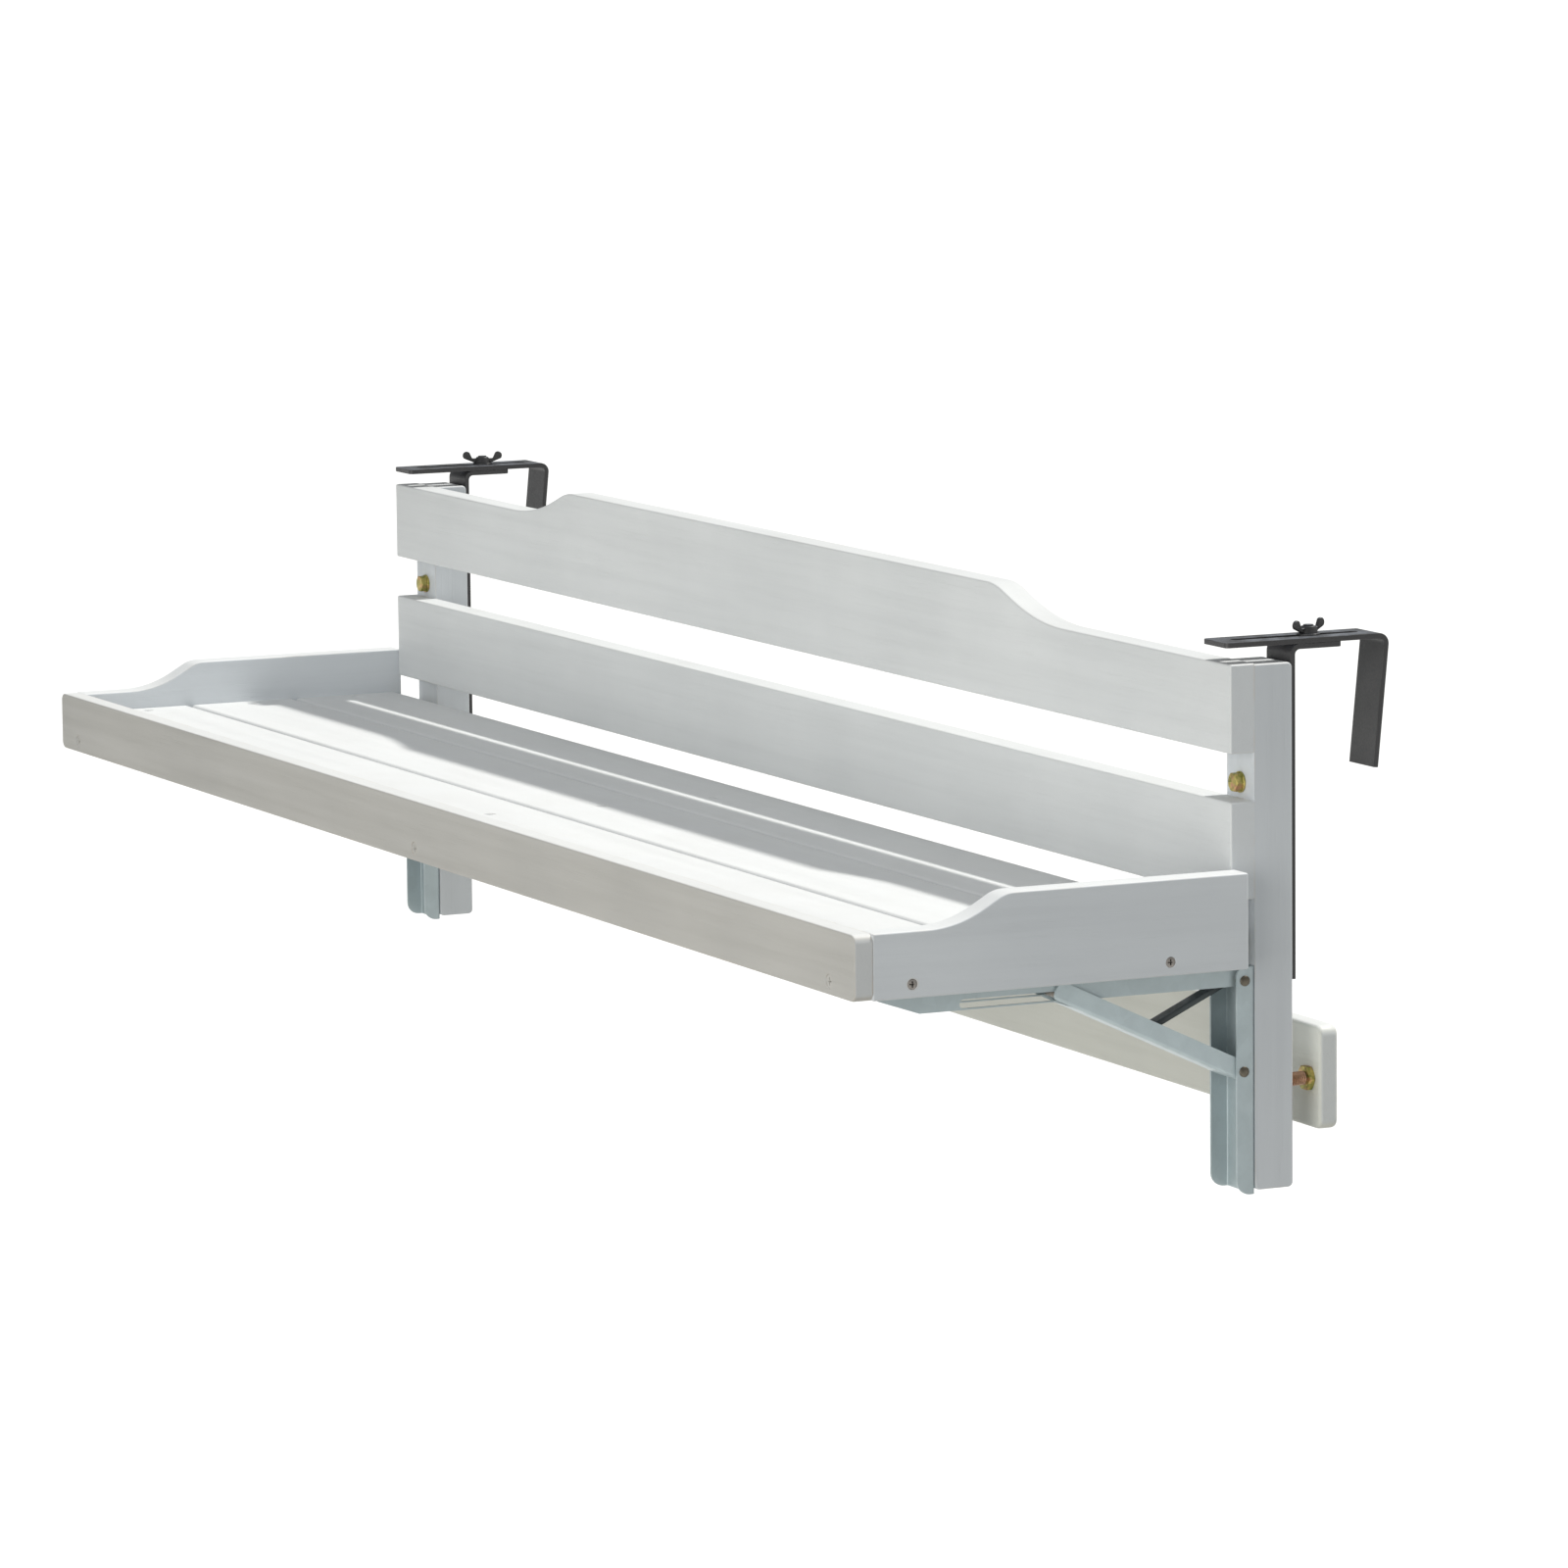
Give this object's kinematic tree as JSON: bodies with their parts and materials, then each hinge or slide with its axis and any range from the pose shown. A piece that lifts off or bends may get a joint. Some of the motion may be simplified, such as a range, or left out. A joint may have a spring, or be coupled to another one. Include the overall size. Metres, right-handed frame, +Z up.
{
  "type": "balcony railing bar table",
  "caption": "Folding slatted shelf with raised rim on a two-post back frame that hangs on a balcony railing by adjustable hooks and rests on a stop board.",
  "frame": {"origin": "middle of the railing's top front edge: back face of the hook straps (Y = 0), underside of their seats (Z = 0), midway between the posts (X = 0)", "axes": "+X along the railing to the right as seen by the user facing the railing, +Y from the user toward the railing, +Z up"},
  "size_m": [1.233, 0.3415, 0.3188],
  "materials": {
    "board_timber": "white translucent stain over softwood, satin",
    "post_timber": "white translucent stain over softwood, satin",
    "slat_timber": "white translucent stain over softwood, satin",
    "rim_timber": "white translucent stain over softwood, satin",
    "batten_timber": "white translucent stain over softwood, satin",
    "stop_timber": "white translucent stain over softwood, satin",
    "bracket_steel": "pale zinc-coated sheet steel, satin",
    "pin_steel": "bright zinc-coated steel",
    "stay_steel": "dark lacquered steel, satin",
    "hook_steel": "black powder coat on flat steel",
    "clamp_steel": "black zinc-coated steel",
    "yellow_zinc": "yellow passivated zinc on steel",
    "screw_zinc": "zinc-coated wood screws"
  },
  "bodies": {
    "back_frame": {"post_left": "post_timber", "post_right": "post_timber", "top_board": "board_timber", "lower_board": "board_timber", "board_screws": "screw_zinc", "wall_channel_left": "bracket_steel", "wall_channel_right": "bracket_steel", "wall_screws": "screw_zinc", "hinge_pins": "pin_steel", "hinge_spacers": "pin_steel", "brace_rivets": "pin_steel", "hook_strap_left": "hook_steel", "hook_strap_right": "hook_steel", "clamp_bolts": "clamp_steel", "clamp_washers": "clamp_steel", "strap_bolts": "yellow_zinc", "strap_washers": "yellow_zinc", "strap_nuts": "yellow_zinc", "post_inserts": "yellow_zinc"},
    "tray": {"front_lip": "rim_timber", "cheek_left": "rim_timber", "cheek_right": "rim_timber", "slat_back": "slat_timber", "slat_middle": "slat_timber", "slat_front": "slat_timber", "batten_left": "batten_timber", "batten_centre": "batten_timber", "batten_right": "batten_timber", "lip_screws": "screw_zinc", "cheek_screws": "screw_zinc", "slat_screws": "screw_zinc", "arm_screws": "screw_zinc", "arm_channel_left": "bracket_steel", "arm_channel_right": "bracket_steel"},
    "brace_left": {"brace_left": "bracket_steel"},
    "brace_right": {"brace_right": "bracket_steel"},
    "stay_left": {"stay_left": "stay_steel"},
    "stay_right": {"stay_right": "stay_steel"},
    "slide_pin_left": {"slide_pin_left": "pin_steel"},
    "slide_pin_right": {"slide_pin_right": "pin_steel"},
    "hook_left": {"hook_arm_left": "hook_steel"},
    "hook_right": {"hook_arm_right": "hook_steel"},
    "wing_nut_left": {"wing_nut_left": "clamp_steel"},
    "wing_nut_right": {"wing_nut_right": "clamp_steel"},
    "stop": {"stop_board": "stop_timber", "adjust_bolts": "yellow_zinc", "adjust_nuts": "yellow_zinc"}
  },
  "joints": [
    {"name": "tray_fold", "type": "hinge", "parent": "back_frame", "child": "tray", "pos_m": [0, -0.0334, -0.1832], "axis": [1, 0, 0], "range_deg": [0, 90]},
    {"name": "brace_swing_left", "type": "hinge", "parent": "back_frame", "child": "brace_left", "pos_m": [-0.584, -0.034, -0.2344], "axis": [1, 0, 0], "range_deg": [0, 115.36]},
    {"name": "stay_swing_left", "type": "hinge", "parent": "back_frame", "child": "stay_left", "pos_m": [-0.584, -0.0334, -0.1832], "axis": [1, 0, 0], "range_deg": [0, 65.4]},
    {"name": "pin_slide_left", "type": "slide", "parent": "tray", "child": "slide_pin_left", "axis": [0, -1, 0], "range_m": [0, 0.06213]},
    {"name": "hook_slide_left", "type": "slide", "parent": "back_frame", "child": "hook_left", "axis": [0, 1, 0], "range_m": [-0.022, 0.042]},
    {"name": "wing_turn_left", "type": "hinge", "parent": "back_frame", "child": "wing_nut_left", "pos_m": [-0.584, 0.016, 0], "axis": [0, 0, 1], "continuous": true},
    {"name": "brace_swing_right", "type": "hinge", "parent": "back_frame", "child": "brace_right", "pos_m": [0.584, -0.034, -0.2344], "axis": [1, 0, 0], "range_deg": [0, 115.36]},
    {"name": "stay_swing_right", "type": "hinge", "parent": "back_frame", "child": "stay_right", "pos_m": [0.584, -0.0334, -0.1832], "axis": [1, 0, 0], "range_deg": [0, 65.4]},
    {"name": "pin_slide_right", "type": "slide", "parent": "tray", "child": "slide_pin_right", "axis": [0, -1, 0], "range_m": [0, 0.06213]},
    {"name": "hook_slide_right", "type": "slide", "parent": "back_frame", "child": "hook_right", "axis": [0, 1, 0], "range_m": [-0.022, 0.042]},
    {"name": "wing_turn_right", "type": "hinge", "parent": "back_frame", "child": "wing_nut_right", "pos_m": [0.584, 0.016, 0], "axis": [0, 0, 1], "continuous": true},
    {"name": "stop_slide", "type": "slide", "parent": "back_frame", "child": "stop", "axis": [0, 1, 0], "range_m": [-0.008, 0.008]}
  ],
  "couplings": [
    {"joint": "brace_swing_left", "follows": "tray_fold", "ratio": 1.2818},
    {"joint": "stay_swing_left", "follows": "tray_fold", "ratio": 0.72667},
    {"joint": "pin_slide_left", "follows": "tray_fold", "m_per_rad": 0.039547},
    {"joint": "brace_swing_right", "follows": "tray_fold", "ratio": 1.2818},
    {"joint": "stay_swing_right", "follows": "tray_fold", "ratio": 0.72667},
    {"joint": "pin_slide_right", "follows": "tray_fold", "m_per_rad": 0.039547}
  ]
}
